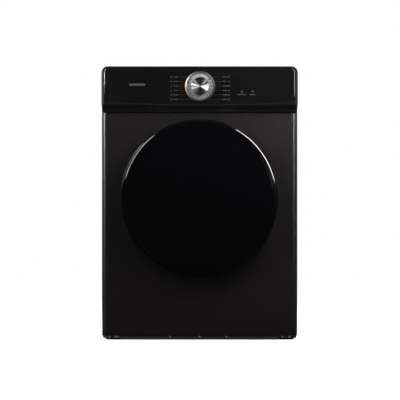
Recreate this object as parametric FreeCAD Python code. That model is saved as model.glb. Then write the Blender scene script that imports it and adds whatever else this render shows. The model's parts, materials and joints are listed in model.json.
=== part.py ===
import FreeCAD, Part
import math
import os
from FreeCAD import Vector as V

# Front-loading vented tumble dryer.
# Millimetres, +Z up, front face towards -Y, +X to the viewer's right.
# Origin: on the floor, at the centre of the whole machine's footprint.

# ----------------------------------------------------------------- driving sizes
WIDTH_CONSOLE = 600.0     # widest part, the console housing
WIDTH_CABINET = 598.0
HEIGHT = 835.0
Y_FRONT = -262.0          # outer face of the front panel
Y_BACK = 262.0            # outer face of the back panel
Y_FASCIA = -286.0         # front of the glossy control fascia
Y_KNOB = -300.0           # front of the selector knob
Y_SPIGOT = 300.0          # end of the vent spigot
Z_BASE = 5.0              # underside of the base pan
Z_PANEL = 12.0            # bottom edge of the front, side and back panels
Z_SEAM = 695.0            # seam between the front panel and the console
Z_TOPTRAY = 813.0         # lower edge of the top panel's skirt
SHEET = 1.5
EDGE_R = 15.0             # rounded vertical front edges of the cabinet

DOOR_Z = 434.0            # height of the door and drum axis
DOOR_R = 240.0            # outer radius of the door ring
DOOR_GLASS_R = 226.0
Y_RING = -293.0
Y_DOME = -298.0
OPENING_R = 190.0         # hole in the front panel
MOUTH_R = 170.0           # tunnel that leads into the drum
HINGE_X, HINGE_Y = 228.0, -280.0

DRUM_R = 280.0
DRUM_Y0, DRUM_Y1 = -174.0, 186.0
BELT_Y0, BELT_Y1 = 78.0, 92.0
ROLLER_R = 30.0
ROLLER_ANG = 47.0
ROLLER_C = DRUM_R + 0.3 + ROLLER_R

DIAL_X, DIAL_Z = 1.5, 774.0
MOTOR_X, MOTOR_Z = -185.0, 100.0
PULLEY_R = 5.5
DUCT_X, DUCT_Z, DUCT_R = -10.0, 76.0, 50.0
FOOT_X, FOOT_Y = 264.0, 228.0

parts = {}


def save(name, shape):
    if isinstance(shape, (list, tuple)):
        shape = Part.makeCompound(list(shape))
    parts[name] = shape


# ----------------------------------------------------------------- helpers
def box(x0, x1, y0, y1, z0, z1):
    return Part.makeBox(x1 - x0, y1 - y0, z1 - z0, V(x0, y0, z0))


def cyl_y(r, y0, y1, x=0.0, z=0.0):
    return Part.makeCylinder(r, y1 - y0, V(x, y0, z), V(0, 1, 0))


def cyl_z(r, z0, z1, x=0.0, y=0.0):
    return Part.makeCylinder(r, z1 - z0, V(x, y, z0), V(0, 0, 1))


def cyl_x(r, x0, x1, y=0.0, z=0.0):
    return Part.makeCylinder(r, x1 - x0, V(x0, y, z), V(1, 0, 0))


def tube_y(r0, r1, y0, y1, x=0.0, z=0.0):
    return cyl_y(r1, y0, y1, x, z).cut(cyl_y(r0, y0 - 1, y1 + 1, x, z))


def union(*items):
    flat = []
    for i in items:
        flat += list(i) if isinstance(i, (list, tuple)) else [i]
    s = flat[0]
    if len(flat) > 1:
        s = s.fuse(flat[1:])
    return s.removeSplitter()


def rounded(points, radii):
    """2-D outline with rounded corners, as a list of line and arc pieces."""
    n = len(points)
    segs = []
    cuts = []
    for i in range(n):
        p = points[i]
        a = points[i - 1]
        b = points[(i + 1) % n]
        r = radii[i] if isinstance(radii, (list, tuple)) else radii
        if r <= 0:
            cuts.append((p, p, None))
            continue
        ax, ay = a[0] - p[0], a[1] - p[1]
        bx, by = b[0] - p[0], b[1] - p[1]
        la, lb = math.hypot(ax, ay), math.hypot(bx, by)
        ax, ay, bx, by = ax / la, ay / la, bx / lb, by / lb
        ang = math.acos(max(-1, min(1, ax * bx + ay * by)))
        if abs(math.pi - ang) < 1e-3:
            cuts.append((p, p, None))
            continue
        t = r / math.tan(ang / 2)
        p1 = (p[0] + ax * t, p[1] + ay * t)
        p2 = (p[0] + bx * t, p[1] + by * t)
        mx, my = ax + bx, ay + by
        lm = math.hypot(mx, my)
        d = r / math.sin(ang / 2)
        c = (p[0] + mx / lm * d, p[1] + my / lm * d)
        m = (c[0] - mx / lm * r, c[1] - my / lm * r)
        cuts.append((p1, p2, m))
    for i in range(n):
        p1, p2, m = cuts[i]
        if m is not None:
            segs.append(("arc", p1, m, p2))
        q = cuts[(i + 1) % n][0]
        if math.hypot(q[0] - p2[0], q[1] - p2[1]) > 1e-6:
            segs.append(("line", p2, q))
    return segs


def wire_of(segs, place):
    edges = []
    for s in segs:
        pts = [place(*p) for p in s[1:]]
        if s[0] == "arc":
            edges.append(Part.Arc(*pts).toShape())
        else:
            edges.append(Part.LineSegment(*pts).toShape())
    return Part.Wire(edges)


def prism_y(points, radii, y0, y1):
    w = wire_of(rounded(points, radii), lambda x, z: V(x, y0, z))
    return Part.Face(w).extrude(V(0, y1 - y0, 0))


def prism_z(points, radii, z0, z1):
    w = wire_of(rounded(points, radii), lambda x, y: V(x, y, z0))
    return Part.Face(w).extrude(V(0, 0, z1 - z0))


def prism_x(points, radii, x0, x1):
    w = wire_of(rounded(points, radii), lambda y, z: V(x0, y, z))
    return Part.Face(w).extrude(V(x1 - x0, 0, 0))


def rect(a0, a1, b0, b1):
    return [(a0, b0), (a1, b0), (a1, b1), (a0, b1)]


def spin_y(points, radii, x=0.0, z=0.0):
    """Solid of revolution about the line along Y through (x, z).
    points are (radius, y)."""
    w = wire_of(rounded(points, radii), lambda r, y: V(x + r, y, z))
    return Part.Face(w).revolve(V(x, 0, z), V(0, 1, 0), 360)


def polar(r, deg, cx=0.0, cz=0.0):
    a = math.radians(deg)
    return cx + r * math.cos(a), cz + r * math.sin(a)


def fillet_if(shape, radius, pick):
    edges = [e for e in shape.Edges if pick(e)]
    if not edges:
        return shape
    try:
        s = shape.makeFillet(radius, edges)
        return s if s.isValid() and s.Volume > 0 else shape
    except Exception:
        return shape


def emboss_side(plate, sign, outer, y0, y1, z0, z1, r, depth):
    """Press a shallow rounded panel inwards into a sheet that is normal to X."""
    xo = sign * outer
    lo, hi = sorted((xo + sign, xo - sign * (depth + SHEET)))
    tray = prism_x(rect(y0 - SHEET, y1 + SHEET, z0 - SHEET, z1 + SHEET), r + SHEET,
                   min(xo, xo - sign * (depth + SHEET)), max(xo, xo - sign * (depth + SHEET)))
    pocket = prism_x(rect(y0, y1, z0, z1), r,
                     min(xo + sign, xo - sign * depth), max(xo + sign, xo - sign * depth))
    return union(plate, tray).cut(pocket)


# ----------------------------------------------------------------- base pan
pan = prism_z(rect(-296, 296, -259, 258), 14, Z_BASE, 60)
pan = pan.cut(prism_z(rect(-293, 293, -256, 255), 11, Z_BASE + 4, 61))
bosses, pockets = [], []
for sx in (-1, 1):
    for sy in (-1, 1):
        bosses.append(cyl_z(28, Z_BASE, 50, sx * FOOT_X, sy * FOOT_Y))
        pockets.append(cyl_z(26, Z_BASE - 1, 14, sx * FOOT_X, sy * FOOT_Y))
        pockets.append(cyl_z(5.3, 13, 51, sx * FOOT_X, sy * FOOT_Y))
ribs = [box(70, 290, y - 1.5, y + 1.5, Z_BASE + 2, 24) for y in (-150, -60, 30, 120)]
ribs += [box(-290, -262, y - 1.5, y + 1.5, Z_BASE + 2, 24) for y in (-60, 30)]
pan = union(pan, bosses, ribs)
for p in pockets:
    pan = pan.cut(p)
pan = pan.cut(cyl_y(DUCT_R + 1.5, 250, 262, DUCT_X, DUCT_Z))             # the exhaust duct leaves through the rear wall
save("base_pan", pan)

# levelling feet: round pad, hexagon and threaded stud
for name, sx, sy in (("foot_front_left", -1, -1), ("foot_front_right", 1, -1),
                     ("foot_rear_left", -1, 1), ("foot_rear_right", 1, 1)):
    x, y = sx * FOOT_X, sy * FOOT_Y
    pad = cyl_z(24, 0, 9, x, y)
    pad = fillet_if(pad, 2.0, lambda e: e.Curve.TypeId == "Part::GeomCircle")
    hexa = [(x + 9 * math.cos(math.radians(60 * k)), y + 9 * math.sin(math.radians(60 * k))) for k in range(6)]
    nut = prism_z(hexa, 0, 8.9, 12.5)
    stud = cyl_z(5.0, 12, 46, x, y)
    save(name, union(pad, nut, stud))

# ----------------------------------------------------------------- cabinet sheets
# Front panel: one sheet whose vertical edges turn back in 15 mm bends.
y_ret = -236.5


def front_outline(o):
    """U-shaped plan outline, inset by o from the outer face."""
    h = WIDTH_CABINET / 2 - o
    return h, Y_FRONT + o


h, yf = front_outline(0)
outer = prism_z([(-h, y_ret), (-h, yf), (h, yf), (h, y_ret)], [0, EDGE_R, EDGE_R, 0], Z_PANEL, Z_SEAM - 2)
hi, yfi = front_outline(SHEET)
inner = prism_z([(-hi, y_ret + 5), (-hi, yfi), (hi, yfi), (hi, y_ret + 5)],
                [0, EDGE_R - SHEET, EDGE_R - SHEET, 0], Z_PANEL + SHEET, Z_SEAM - 2 - SHEET)
front = outer.cut(inner)
front = front.cut(box(-270, 270, -248, -230, Z_PANEL - 1, Z_SEAM))      # top and bottom flanges 14 mm deep
front = front.cut(cyl_y(OPENING_R, Y_FRONT - 1, -249.5, 0, DOOR_Z))
front = union(front, tube_y(OPENING_R, OPENING_R + SHEET, Y_FRONT, -250, 0, DOOR_Z))
front = front.cut(prism_y(rect(-213.5, -198.5, 424.5, 443.5), 2, Y_FRONT - 1, Y_FRONT + SHEET + 1))
front = front.cut(prism_z(rect(-296.3, 296.3, -259.3, 258.3), 14, 4, 61))
front = fillet_if(front, 1.2, lambda e: abs(e.BoundBox.ZMin - (Z_SEAM - 2)) < 0.01
                  and abs(e.BoundBox.ZMax - (Z_SEAM - 2)) < 0.01
                  and (e.BoundBox.YMin < Y_FRONT + 0.01 or (e.BoundBox.YMin < Y_FRONT + EDGE_R and abs(e.BoundBox.XLength - EDGE_R) < 0.01)))
save("front_panel", front)

# Side panels: notched at the top front corner for the console housing.
for name, s in (("side_panel_left", -1), ("side_panel_right", 1)):
    xc = WIDTH_CABINET / 2
    lo, hi_ = sorted((s * xc, s * (xc - SHEET)))
    pts = [(-235.5, Z_PANEL), (260, Z_PANEL), (260, Z_TOPTRAY - 0.5), (-199, Z_TOPTRAY - 0.5),
           (-199, Z_SEAM - 1), (-235.5, Z_SEAM - 1)]
    sheet = prism_x(pts, [3, 0, 0, 0, 0, 0], lo, hi_)
    fl0, fl1 = sorted((s * xc, s * (xc - 17)))
    flange = box(fl0, fl1, 258.5, 260, Z_PANEL, Z_TOPTRAY - 0.5)
    foot_fl = box(fl0, fl1, -235.5, 260, Z_PANEL, Z_PANEL + SHEET)
    sheet = union(sheet, flange, foot_fl)
    for (a, b, c, d) in ((-190, 215, 110, 330), (-190, 215, 400, 620)):
        sheet = emboss_side(sheet, s, xc, a, b, c, d, 28, 2.5)
    # clearance for the base pan's foot bosses and walls
    sheet = sheet.cut(prism_z(rect(-296.3, 296.3, -259.3, 258.3), 14, 4, 61))
    save(name, sheet)

# Back panel with an air grille, stiffening swages, and holes for the duct and the gland
back = prism_y(rect(-298, 298, Z_PANEL, Z_TOPTRAY - 0.5), 4, Y_BACK - SHEET, Y_BACK)
for (a, b, c, d) in ((-250, -20, 250, 700), (20, 250, 420, 700)):
    tray = prism_y(rect(a - SHEET, b + SHEET, c - SHEET, d + SHEET), 20 + SHEET, Y_BACK - SHEET - 2.5, Y_BACK)
    back = union(back, tray).cut(prism_y(rect(a, b, c, d), 20, Y_BACK - 2.5, Y_BACK + 1))
slots = []
for row in range(9):
    for col in range(3):
        x0 = 100 + col * 52
        z0 = 200 + row * 16
        slots.append(prism_y(rect(x0, x0 + 40, z0, z0 + 6), 2.9, Y_BACK - 10, Y_BACK + 1))
back = back.cut(Part.makeCompound(slots))
back = back.cut(cyl_y(51, Y_BACK - 10, Y_BACK + 1, DUCT_X, DUCT_Z))
back = back.cut(cyl_y(10.3, Y_BACK - 10, Y_BACK + 1, 235, 765))
save("back_panel", back)

# Top panel: shallow tray with 20 mm rounded long edges and ribs underneath
top = prism_y([(-299, Z_TOPTRAY), (-299, HEIGHT), (299, HEIGHT), (299, Z_TOPTRAY)], [0, 20, 20, 0], -199.3, 262)
top = top.cut(prism_y([(-296.5, Z_TOPTRAY - 1), (-296.5, HEIGHT - 3), (296.5, HEIGHT - 3), (296.5, Z_TOPTRAY - 1)],
                      [0, 17.5, 17.5, 0], -196.8, 259.5))
top = union(top, [box(-283, 283, y - 1, y + 1, HEIGHT - 14, HEIGHT - 2) for y in (-110, -20, 70, 160)])
top = fillet_if(top, 4.0, lambda e: e.BoundBox.YMin > 261.9 and e.BoundBox.ZMin > Z_TOPTRAY + 1)
save("top_panel", top)

# ----------------------------------------------------------------- console
side_profile = rounded([(-200, Z_SEAM), (-265.5, Z_SEAM), (-268.0, Z_SEAM + 6.5), (-285.0, Z_SEAM + 22.0), (-285.0, HEIGHT), (-200, HEIGHT)],
                       [0, 2.0, 16.0, 5.0, 4.0, 0])
w = wire_of(side_profile, lambda y, z: V(-301, y, z))
hous = Part.Face(w).extrude(V(602, 0, 0))
hous = hous.common(prism_y([(-298.4, Z_SEAM), (-298.4, Z_SEAM + 14), (-300, Z_SEAM + 27), (-300, HEIGHT), (300, HEIGHT), (300, Z_SEAM + 27), (298.4, Z_SEAM + 14), (298.4, Z_SEAM)], [1.5, 12, 12, 20, 20, 12, 12, 1.5], -300, -190))
hous = hous.common(prism_z([(-300, -200), (-300, -285), (300, -285), (300, -200)], [0, 8, 8, 0], 600, 900))
cav = prism_x([(-199, Z_SEAM + 3), (-262, Z_SEAM + 3), (-264.5, Z_SEAM + 8.5), (-281.2, Z_SEAM + 25), (-281.2, HEIGHT - 5), (-279, HEIGHT - 3), (-199, HEIGHT - 3)],
              0, -297, 297)
cav = cav.common(prism_y([(-295.4, Z_SEAM), (-297, HEIGHT), (297, HEIGHT), (295.4, Z_SEAM)], [2, 17, 17, 2], -300, -190))
cav = cav.common(prism_z([(-297, -190), (-297, -282), (297, -282), (297, -190)], [0, 7, 7, 0], 600, 900))
hous = hous.cut(cav)


def fascia_face(o, y):
    """Outline of the control fascia, grown by o: rounded corners, bowed lower edge."""
    x, zt, zb = 291 + o, 831.5 + o, 724 - o
    rt, rb = 17 + o, 23 + o
    k = math.sqrt(0.5)
    segs = [("arc", (-x, zt - rt), (-x + rt * (1 - k), zt - rt * (1 - k)), (-x + rt, zt)),
            ("line", (-x + rt, zt), (x - rt, zt)),
            ("arc", (x - rt, zt), (x - rt * (1 - k), zt - rt * (1 - k)), (x, zt - rt)),
            ("line", (x, zt - rt), (x, zb + rb)),
            ("arc", (x, zb + rb), (x - rb * (1 - k), zb + rb * (1 - k)), (x - rb, zb)),
            ("arc", (x - rb, zb), (0, zb - 7.5), (-x + rb, zb)),
            ("arc", (-x + rb, zb), (-x + rb * (1 - k), zb + rb * (1 - k)), (-x, zb + rb)),
            ("line", (-x, zb + rb), (-x, zt - rt))]
    return Part.Face(wire_of(segs, lambda a, c: V(a, y, c)))


hous = hous.cut(fascia_face(0.3, -290).extrude(V(0, 290 - 282.9, 0)))
hous = hous.cut(cyl_y(30, -290, -270, DIAL_X, DIAL_Z))
hous = hous.cut(box(118, 172, -290, -270, 744, 772))
# fixing ribs for the boards
hous = union(hous, box(-40, -37, -282, -262, 735, 800), box(285, 288, -282, -255, 735, 800))
save("console_housing", hous)

fas = fascia_face(0, Y_FASCIA).extrude(V(0, 3.0, 0))
try:
    ring_edges = [e for e in fas.Edges if abs(e.BoundBox.YMin - Y_FASCIA) < 0.01 and abs(e.BoundBox.YMax - Y_FASCIA) < 0.01]
    f2 = fas.makeChamfer(1.3, ring_edges)
    if f2.isValid():
        fas = f2
except Exception:
    pass
fas = fas.cut(cyl_y(46.3, -290, -280, DIAL_X, DIAL_Z))
save("console_fascia", fas)

# selector dial: light guide, bezel and programme ring are fixed, only the knob turns
save("dial_light_ring", spin_y([(44.15, -282.9), (46.0, -282.9), (46.0, -288.4), (44.15, -289.2)], [0, 0, 0.6, 0.6], DIAL_X, DIAL_Z))
save("dial_bezel", spin_y([(39.5, -282.9), (44.0, -282.9), (44.0, -289.6), (42.6, -290.4), (40.6, -290.4), (39.5, -288.8)],
                          [0, 0, 0.5, 0.5, 0.8, 0.3], DIAL_X, DIAL_Z))
prog = spin_y([(27.6, -282.9), (39.35, -282.9), (39.35, -288.2), (27.6, -289.4)], [0, 0, 0.3, 0.5], DIAL_X, DIAL_Z)
ticks = []
for a in (36, 18, 0, -18, -36, -54, 144, 162, 180, 198, 216, 234):
    t = box(32.8, 36.6, -292, -288.2, -0.6, 0.6)
    t.rotate(V(0, 0, 0), V(0, 1, 0), -a)
    t.translate(V(DIAL_X, 0, DIAL_Z))
    ticks.append(t)
prog = prog.cut(Part.makeCompound(ticks))
save("programme_ring", prog)
knob = spin_y([(0, Y_KNOB + 0.9), (23.6, Y_KNOB + 0.5), (24.9, Y_KNOB), (26.2, Y_KNOB), (27.0, -290.2), (25.2, -290.2), (24.4, -297),
               (6, -297), (6, -284), (3.0, -284), (3.0, -262), (0, -262)],
              [0, 0, 0.5, 0.9, 0.2, 0, 0.5, 0.5, 0, 0, 0.3, 0], DIAL_X, DIAL_Z)
knob = knob.cut(cyl_y(1.6, Y_KNOB - 1, Y_KNOB + 1.6, DIAL_X - 18.2, DIAL_Z - 9.5))
save("dial_knob", knob)
enc = union(box(DIAL_X - 14, DIAL_X + 14, -275, -256, DIAL_Z - 14, DIAL_Z + 14),
            cyl_y(7, -281.4, -275, DIAL_X, DIAL_Z),
            [box(DIAL_X + dx - 0.5, DIAL_X + dx + 0.5, -256, -251, DIAL_Z - 9, DIAL_Z - 6) for dx in (-8, -4, 0, 4, 8)])
enc = enc.cut(cyl_y(3.06, -290, -258, DIAL_X, DIAL_Z))
save("selector_encoder", enc)

# electronics behind the fascia
pcb = union(box(30, 262, -249.5, -247.9, 712, 812),
            box(60, 110, -247.9, -215, 725, 765), box(125, 150, -247.9, -226, 720, 740),
            box(156, 181, -247.9, -226, 720, 740), box(190, 215, -247.9, -226, 720, 740),
            [cyl_y(8, -247.9, -222, x, 790) for x in (60, 84, 108)],
            box(225, 256, -247.9, -236, 770, 806), box(130, 200, -247.9, -238, 795, 809),
            box(135, 160, -247.9, -244.9, 755, 780))
save("control_board", pcb)
tb = union(box(112, 178, -280.6, -279.2, 738, 778), cyl_y(8, -281.0, -280.6, 128.5, 757), cyl_y(8, -281.0, -280.6, 161.5, 757),
           box(120, 150, -279.2, -273, 742, 750))
save("touch_sensor_board", tb)

# ----------------------------------------------------------------- door (swings about HINGE_X, HINGE_Y)
ring = spin_y([(226.3, -289.0), (229.0, -292.4), (231.5, Y_RING), (240.0, -290.0), (240.0, -266.0), (227.0, -266.0), (227.0, -284.5), (221.0, -284.5), (221.0, -286.0), (226.3, -286.0)],
              [0.3, 1.2, 2.5, 6.0, 2.0, 0.5, 0, 0, 0, 0], 0, DOOR_Z)
ring = ring.cut(box(203, 245, -286.2, -260, DOOR_Z - 46, DOOR_Z + 46))          # hinge notch
grip = prism_y(rect(-250, -229.5, DOOR_Z - 58, DOOR_Z + 58), 6, -283, -260)      # finger recess
ring = ring.cut(grip)
save("door_outer_ring", ring)

GLASS_R, Y_GLASS_EDGE = 225.9, -290.0
DOME_R = (GLASS_R ** 2 + (Y_GLASS_EDGE - Y_DOME) ** 2) / (2 * (Y_GLASS_EDGE - Y_DOME))   # sphere through edge and apex
BACK_R = DOME_R - 3.6
dome = Part.makeSphere(DOME_R, V(0, Y_DOME + DOME_R, DOOR_Z), V(0, 1, 0))
dome_in = Part.makeSphere(BACK_R, V(0, Y_DOME + DOME_R, DOOR_Z), V(0, 1, 0))
glass = cyl_y(GLASS_R, Y_DOME - 5, -280, 0, DOOR_Z).common(dome).cut(dome_in)
save("door_outer_glass", glass)

frame = spin_y([(140, -285.6), (143, -285.6), (143, -270.6), (222.5, -270.6), (222.5, -284.0), (226.5, -284.0), (226.5, -268.0), (140, -268.0)],
               0.0, 0, DOOR_Z)
for k in range(12):
    a = 15 + 30 * k
    if min(abs(a - 0), abs(a - 360)) < 20:
        continue
    r = box(142.5, 223, -280, -270.0, -1, 1)
    r.rotate(V(0, 0, 0), V(0, 1, 0), -a)
    r.translate(V(0, 0, DOOR_Z))
    frame = frame.fuse(r)
frame = frame.removeSplitter()
frame = frame.cut(box(203, 245, -290, -260, DOOR_Z - 46, DOOR_Z + 46))
frame = frame.cut(prism_y(rect(-250, -224.2, DOOR_Z - 58, DOOR_Z + 58), 6, -283, -260))
frame = frame.cut(box(-213, -199, -275, -260, DOOR_Z - 13, DOOR_Z + 13))
save("door_inner_frame", frame)

save("door_glass_bowl", spin_y([(0, -218), (122, -218), (135.5, -285.4), (139.7, -285.4), (139.7, -266.5), (147, -266.5), (147, -264.0), (137.5, -264.0), (126, -214), (0, -214)],
                               [0, 16, 0, 0, 0, 0, 0, 1, 20, 0], 0, DOOR_Z))
strike = union(box(-212.6, -199.4, -272.6, -269.6, DOOR_Z - 12.6, DOOR_Z + 12.6),
               box(-208.5, -203.5, -269.7, -252.5, DOOR_Z - 5, DOOR_Z + 5))
strike = strike.cut(cyl_x(2.6, -215, -195, -257.5, DOOR_Z))
save("door_strike", strike)
arm = union(box(172, 226, -284.0, -279.6, DOOR_Z - 24, DOOR_Z + 24), cyl_z(5.0, DOOR_Z - 27, DOOR_Z + 27, HINGE_X, HINGE_Y),
            box(172, 196, -279.7, -270.8, DOOR_Z - 20, DOOR_Z + 20))
arm = arm.cut(cyl_z(2.58, DOOR_Z - 28, DOOR_Z + 28, HINGE_X, HINGE_Y))
save("door_hinge_arm", arm)
screws = []
for a in (35, 90, 145, 215, 270, 325):
    x, z = polar(206, a, 0, DOOR_Z)
    head = cyl_y(4.2, -267.9, -265.6, x, z).cut(box(x - 3, x + 3, -267.0, -265, z - 0.5, z + 0.5)).cut(box(x - 0.5, x + 0.5, -267.0, -265, z - 3, z + 3))
    screws.append(head)
save("door_screws", screws)

# hinge bracket with its riveted pin, on the front panel
br = prism_y(rect(206, 227, DOOR_Z - 44, DOOR_Z + 44), 3, -264.4, Y_FRONT - 0.05)
for s in (-1, 1):
    z0, z1 = sorted((DOOR_Z + s * 27.5, DOOR_Z + s * 37.5))
    lug = prism_z([(207, -264.2), (226.5, -264.2), (227.4, -274.5), (228, -280), (223.2, -280)], [0, 0, 0, 0, 3], z0, z1)
    br = union(br, lug, cyl_z(5.0, z0, z1, HINGE_X, HINGE_Y))
br = union(br, cyl_z(2.5, DOOR_Z - 40, DOOR_Z + 40, HINGE_X, HINGE_Y))
for z in (-12, 12):
    br = br.cut(cyl_y(2.2, -266, -261, 214, DOOR_Z + z))
save("hinge_bracket", br)

catch = box(-222, -192.5, -260.2, -246, DOOR_Z - 20, DOOR_Z + 20)
catch = catch.cut(box(-212.5, -199.5, -261, -250, DOOR_Z - 8.5, DOOR_Z + 8.5))
save("door_catch", catch)
save("door_seal", spin_y([(178, -245.3), (178, -262), (180, -267.7), (184, -267.7), (189.2, -258), (189.2, -245.3)],
                         [0, 3, 1.5, 1.5, 3, 0], 0, DOOR_Z))

# ----------------------------------------------------------------- bulkheads that carry the drum
fb = box(-292, 292, -245, -243.5, 62, 690)
fb = union(fb, box(-292, 292, -245, -235, 688.5, 690), box(-292, 292, -245, -238.4, 62, 63.5))
fb = union(fb, tube_y(MOUTH_R, MOUTH_R + 2, -245, -178, 0, DOOR_Z), tube_y(MOUTH_R, 285, -180, -178, 0, DOOR_Z))
fb = fb.cut(cyl_y(MOUTH_R, -246, -177, 0, DOOR_Z))
ears = []
for s in (-1, 1):
    ex, ez = polar(ROLLER_C, -90 + s * ROLLER_ANG, 0, DOOR_Z)
    ix, iz = polar(ROLLER_C - 36, -90 + s * ROLLER_ANG, 0, DOOR_Z)
    ears.append((s, ex, ez, ix, iz))
    ear = union(cyl_y(16, -180, -178, ex, ez), cyl_y(20, -180, -178, ix, iz))
    strap = box(0, ROLLER_C, -180, -178, -16, 16).common(box(270, ROLLER_C, -181, -177, -20, 20))
    strap.rotate(V(0, 0, 0), V(0, 1, 0), -(-90 + s * ROLLER_ANG))
    strap.translate(V(0, 0, DOOR_Z))
    fb = union(fb, ear, strap)
# slot in the tunnel floor for the lint filter, and four stays behind the plate
FIL_Y0, FIL_Y1 = -205.0, -185.0
fb = fb.cut(box(-88, 88, FIL_Y0 - 0.6, FIL_Y1 + 0.6, 240, DOOR_Z))
for a in (40, 140, 320, 220):
    x, z = polar(225, a, 0, DOOR_Z)
    fb = union(fb, tube_y(5, 7, -243.6, -179.9, x, z))
save("front_bulkhead", fb)

rb = box(-292, 292, 190, 191.5, 62, 800)
rb = union(rb, box(-292, 292, 190, 200, 798.5, 800), box(-292, 292, 190, 200, 62, 63.5))
rb = rb.cut(cyl_y(126, 185, 200, 0, 500)).cut(prism_y(rect(-60, 40, 60, 140), 4, 185, 202))
save("rear_bulkhead", rb)

gr = cyl_y(136, 188.3, 189.8, 0, 500)
gr = union(gr, tube_y(133.5, 136, 187.0, 189.8, 0, 500))
holes = []
for k, r in enumerate((14, 32, 50, 68, 86, 104, 121)):
    n = max(6, int(2 * math.pi * r / 17))
    for i in range(n):
        x, z = polar(r, 360.0 * i / n + 7 * k, 0, 500)
        holes.append(cyl_y(4.6, 186, 192, x, z))
gr = gr.cut(Part.makeCompound(holes))
save("air_inlet_grille", gr)

hh = box(-148, 148, 192.0, 250, 345, 655).cut(box(-146, 146, 191, 248, 347, 653))
hh = hh.cut([box(x, x + 14, 192, 249, 340, 350) for x in range(-120, 110, 24)])
save("heater_housing", hh)
rods = []
zs = [400 + 33 * k for k in range(7)]
for k, z in enumerate(zs):
    rods.append(cyl_x(4, -90, 90, 220, z))
    if k < 6:
        sx = 90 if k % 2 == 0 else -90
        t = Part.makeTorus(16.5, 4, V(sx, 220, z + 16.5), V(0, 1, 0))
        half = t.common(box(sx, sx + 40, 200, 240, z - 10, z + 43) if sx > 0 else box(sx - 40, sx, 200, 240, z - 10, z + 43))
        rods.append(half)
save("heater_element", union(rods))
save("thermostats", [union(cyl_y(9, 250.2, 254.5, x, 600), cyl_y(5, 254.5, 256.5, x, 600)) for x in (-60, 0)])

felt = [spin_y([(264, -177.7), (278, -177.7), (278, -174.3), (264, -174.3)], [0, 0, 1, 1], 0, DOOR_Z),
        spin_y([(264, 186.3), (278, 186.3), (278, 189.7), (264, 189.7)], [1, 1, 0, 0], 0, DOOR_Z)]
save("drum_felt_seals", felt)
strips = []
for a0, a1 in ((-118, -95), (-85, -62)):
    p0, p1 = polar(300, a0, 0, DOOR_Z), polar(300, a1, 0, DOOR_Z)
    strips.append(tube_y(196, 203, -177.8, -175.6, 0, DOOR_Z).common(prism_y([(0, DOOR_Z), p0, p1], 0, -179, -175)))
save("moisture_sensor_strips", strips)

# ----------------------------------------------------------------- drum
drum = spin_y([(262, DRUM_Y0), (DRUM_R, DRUM_Y0), (DRUM_R, 72), (281.2, 73), (281.2, 75), (DRUM_R, 76), (DRUM_R, 94), (281.2, 95), (281.2, 97), (DRUM_R, 98),
               (DRUM_R, DRUM_Y1), (262, DRUM_Y1), (262, DRUM_Y1 - 1.0), (DRUM_R - 1.2, DRUM_Y1 - 1.0), (DRUM_R - 1.2, DRUM_Y0 + 1.0), (262, DRUM_Y0 + 1.0)],
              0, 0, DOOR_Z)
save("drum_shell", drum)
lifters = []
inside = cyl_y(DRUM_R - 1.25, -200, 200, 0, DOOR_Z)
for k in range(3):
    sec = prism_y([(-38, -288), (-16, -240), (0, -231), (16, -240), (38, -288)], [0, 12, 8, 12, 0], -160, 174)
    end0 = prism_x([(-160, -290), (-160, -262), (-138, -228), (152, -228), (174, -262), (174, -290)], [0, 10, 20, 20, 10, 0], -50, 50)
    lf = sec.common(end0)
    lf.rotate(V(0, 0, 0), V(0, 1, 0), 60 + 120 * k)
    lf.translate(V(0, 0, DOOR_Z))
    lifters.append(lf.common(inside))
save("drum_lifters", lifters)

# support rollers: rubber-tyred, on fixed axles
axles = []
for s, ex, ez, ix, iz in ears:
    side = "left" if s < 0 else "right"
    for end, y0, y1, p0, p1 in (("front", -170, -148, -180, -142), ("rear", 158, 180, 152, 190)):
        rl = spin_y([(5.06, y0), (11, y0), (13, y0 + 3), (25, y0 + 3), (27, y0), (ROLLER_R, y0), (ROLLER_R, y1), (27, y1), (25, y1 - 3), (13, y1 - 3), (11, y1), (5.06, y1)],
                    [0, 0, 0, 0, 0, 1.2, 1.2, 0, 0, 0, 0, 0], ex, ez)
        save("roller_%s_%s" % (end, side), rl)
        if end == "front":
            axles.append(union(cyl_y(5, -178, p1, ex, ez), cyl_y(8, -178, -172, ex, ez)))
        else:
            axles.append(union(cyl_y(5, p0, 189.9, ex, ez), cyl_y(8, 182, 189.9, ex, ez)))
save("roller_axles", axles)

# ----------------------------------------------------------------- lint filter and air path
arc_lid = tube_y(MOUTH_R - 2.0, MOUTH_R + 0.5, FIL_Y0, FIL_Y1, 0, DOOR_Z).common(box(-87, 87, -210, -180, 240, 330))
ff = box(-84, 84, -200, -190, 118, 262).cut(box(-76, 76, -202, -188, 126, 250))
ff = union(ff, box(-84, 84, -200, -190, 250, 292).common(cyl_y(400, -210, -180, 0, DOOR_Z)).cut(cyl_y(MOUTH_R - 0.5, -210, -180, 0, DOOR_Z)),
           [box(x - 1.5, x + 1.5, -198, -192, 124, 252) for x in (-38, 0, 38)], box(-78, 78, -198, -192, 187, 190), arc_lid)
ff = ff.cut(cyl_y(14, -210, -180, 0, 280).common(box(-14, 14, -206, -198.5, 266, 280)))
save("lint_filter_frame", ff)
cells = []
for i in range(4):
    xa = (-76, -36.5, 1.5, 39.5)[i]
    xb = (-39.5, -1.5, 36.5, 76)[i]
    cells.append(box(xa, xb, -195.6, -194.4, 126, 187))
    cells.append(box(xa, xb, -195.6, -194.4, 190, 250))
save("lint_filter_mesh", cells)

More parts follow.
